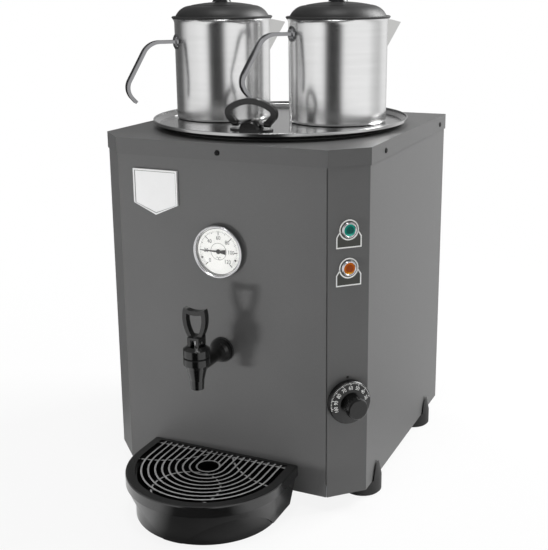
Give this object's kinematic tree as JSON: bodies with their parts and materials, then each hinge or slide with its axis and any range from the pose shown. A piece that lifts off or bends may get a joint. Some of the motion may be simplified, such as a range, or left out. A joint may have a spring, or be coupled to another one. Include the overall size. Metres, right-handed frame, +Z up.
{
  "type": "hot water urn",
  "caption": "Square countertop tea boiler with a front push tap, dial thermometer, drip tray with grille, thermostat knob, pilot lamps, and lidded teapots on a lift-off warming plate",
  "frame": {"origin": "bottom centre of the whole object's bounding box, on the table", "axes": "+Z is up, -Y is the front with the tap, +X is the side with the lamps and the thermostat"},
  "size_m": [0.3519, 0.4814, 0.5955],
  "materials": {
    "casing_paint": "satin dark grey powder coat",
    "cover_paint": "satin dark grey powder coat",
    "screw_black": "blackened steel screws",
    "zinc": "zinc-plated steel",
    "rubber_black": "matte moulded rubber",
    "steel_satin": "brushed stainless steel",
    "steel_polished": "polished stainless steel",
    "element_sheath": "heat-tinted sheath",
    "gasket_red": "silicone gasket",
    "brass": "machined brass",
    "phenolic": "black phenolic moulding",
    "ceramic": "glazed ceramic",
    "copper": "drawn copper capillary and bulb",
    "gloss_black": "glossy black moulding",
    "tap_black": "glossy black moulding",
    "label_print": "printed foil label, bare of words",
    "lamp_bezel": "chromed ring",
    "lens_green": "ribbed translucent green lens",
    "lens_amber": "ribbed translucent amber lens",
    "badge_metal": "satin plate with a bright raised border, bare",
    "dial_white": "printed white dial",
    "dial_case": "polished case",
    "glass": "clear flat glass",
    "needle_black": "black painted needle",
    "cup_white": "silicone seat cup",
    "stem_white": "acetal stem",
    "lid_black": "black satin enamel",
    "tray_black": "black moulding"
  },
  "bodies": {
    "casing": {"front_panel": "casing_paint", "control_panel": "casing_paint", "rear_panel": "casing_paint", "top_cover": "cover_paint", "cover_screws": "screw_black", "base_plate": "zinc", "foot_front_left": "rubber_black", "foot_front_right": "rubber_black", "foot_rear_left": "rubber_black", "foot_rear_right": "rubber_black", "foot_screws": "zinc", "tank": "steel_satin", "tank_bushes": "steel_satin", "heating_element": "element_sheath", "element_gasket": "gasket_red", "element_flange": "brass", "element_bolts": "zinc", "safety_cutout": "phenolic", "terminal_block": "ceramic", "cable_gland": "phenolic", "thermostat_body": "ceramic", "thermostat_bulb": "copper", "knob_index": "gloss_black", "lamp_green_label": "label_print", "lamp_green_bezel": "lamp_bezel", "lamp_green_lens": "lens_green", "lamp_amber_label": "label_print", "lamp_amber_bezel": "lamp_bezel", "lamp_amber_lens": "lens_amber", "badge": "badge_metal", "thermometer_case": "dial_case", "thermometer_dial": "dial_white", "thermometer_glass": "glass", "tap_washer": "rubber_black", "tap_body": "tap_black", "tap_bonnet": "tap_black"},
    "thermostat_dial": {"thermostat_knob": "gloss_black", "thermostat_shaft": "steel_satin"},
    "needle": {"thermometer_needle": "needle_black"},
    "tap_plunger": {"tap_stem": "stem_white", "tap_cup": "cup_white", "tap_spring": "steel_satin", "tap_pin": "steel_satin"},
    "tap_lever": {"tap_handle": "tap_black"},
    "warming_plate": {"lid_plate": "steel_polished", "lid_handle_base": "phenolic", "lid_handle_pin": "steel_polished"},
    "lifting_loop": {"lid_handle": "phenolic"},
    "pot_a": {"pot_a_body": "steel_satin", "pot_a_spout": "steel_satin", "pot_a_handle": "steel_polished"},
    "pot_a_cover": {"pot_a_lid": "lid_black", "pot_a_knob": "phenolic"},
    "pot_b": {"pot_b_body": "steel_satin", "pot_b_spout": "steel_satin", "pot_b_handle": "steel_polished"},
    "pot_b_cover": {"pot_b_lid": "lid_black", "pot_b_knob": "phenolic"},
    "tray": {"drip_tray": "tray_black"},
    "grille": {"drip_grille": "tray_black"}
  },
  "joints": [
    {"name": "tap_tilt", "type": "hinge", "parent": "tap_plunger", "child": "tap_lever", "pos_m": [0, -0.16525, 0.2082], "axis": [1, 0, 0], "range_deg": [0, 30], "stiffness_Nm_per_rad": 0.05},
    {"name": "tap_lift", "type": "slide", "parent": "casing", "child": "tap_plunger", "axis": [0, 0, 1], "range_m": [0, 0.0032], "deforming": ["tap_spring"]},
    {"name": "thermostat_turn", "type": "hinge", "parent": "casing", "child": "thermostat_dial", "pos_m": [0.1475, -0.08775, 0.134], "axis": [-0.7071, 0.7071, 0], "range_deg": [-120, 120]},
    {"name": "needle_sweep", "type": "hinge", "parent": "casing", "child": "needle", "pos_m": [0, -0.10875, 0.296], "axis": [0, 1, 0], "range_deg": [-45, 225], "stiffness_Nm_per_rad": 0.002},
    {"name": "plate_lift", "type": "slide", "parent": "casing", "child": "warming_plate", "axis": [0, 0, 1], "range_m": [0, 0.2]},
    {"name": "loop_fold", "type": "hinge", "parent": "warming_plate", "child": "lifting_loop", "pos_m": [0.003, -0.02525, 0.4295], "axis": [1, 0, 0], "range_deg": [-88, 88]},
    {"name": "pot_a_lift", "type": "slide", "parent": "warming_plate", "child": "pot_a", "axis": [0, 0, 1], "range_m": [0, 0.15]},
    {"name": "pot_a_lid_lift", "type": "slide", "parent": "pot_a", "child": "pot_a_cover", "axis": [0, 0, 1], "range_m": [0, 0.08]},
    {"name": "pot_b_lift", "type": "slide", "parent": "warming_plate", "child": "pot_b", "axis": [0, 0, 1], "range_m": [0, 0.15]},
    {"name": "pot_b_lid_lift", "type": "slide", "parent": "pot_b", "child": "pot_b_cover", "axis": [0, 0, 1], "range_m": [0, 0.08]},
    {"name": "tray_slide", "type": "slide", "parent": "casing", "child": "tray", "axis": [0, -1, 0], "range_m": [0, 0.15]},
    {"name": "grille_lift", "type": "slide", "parent": "tray", "child": "grille", "axis": [0, 0, 1], "range_m": [0, 0.08]}
  ],
  "couplings": [
    {"joint": "tap_tilt", "follows": "tap_lift", "rad_per_m": 163.6}
  ]
}
